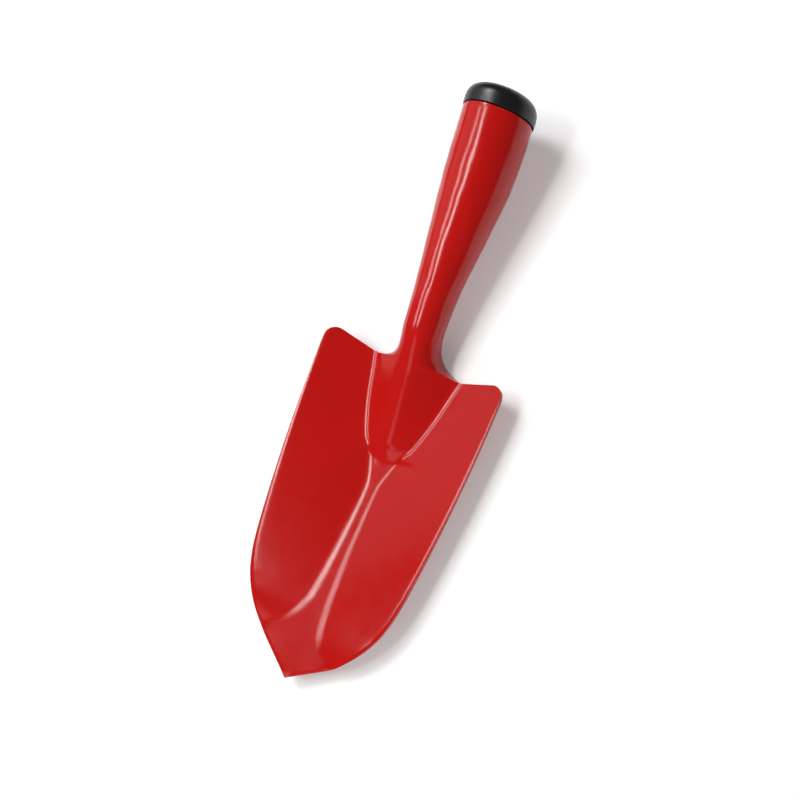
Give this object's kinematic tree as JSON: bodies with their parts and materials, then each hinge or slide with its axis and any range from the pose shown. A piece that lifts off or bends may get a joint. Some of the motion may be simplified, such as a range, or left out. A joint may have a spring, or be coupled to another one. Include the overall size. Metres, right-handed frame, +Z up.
{
  "type": "garden trowel",
  "caption": "Hand trowel of red enamelled sheet steel: pointed dished blade, raised tongue running into the neck, and rolled tubular handle closed by a black plastic end plug.",
  "frame": {"origin": "centre of the underside of the trowel's box as it lies on a table, on the heel of the blade and the lowest points of the neck's curled edges, concave side up", "axes": "+Y along the trowel from the blade's point to the handle's end, +Z up from the table, +X to the right when looking along +Y"},
  "size_m": [0.0854, 0.2486, 0.0412],
  "materials": {
    "red_enamelled_steel": "gloss enamel baked on mild steel sheet",
    "black_plastic": "moulded, satin"
  },
  "bodies": {
    "root": {"trowel_body": "red_enamelled_steel", "end_plug": "black_plastic"}
  },
  "joints": []
}
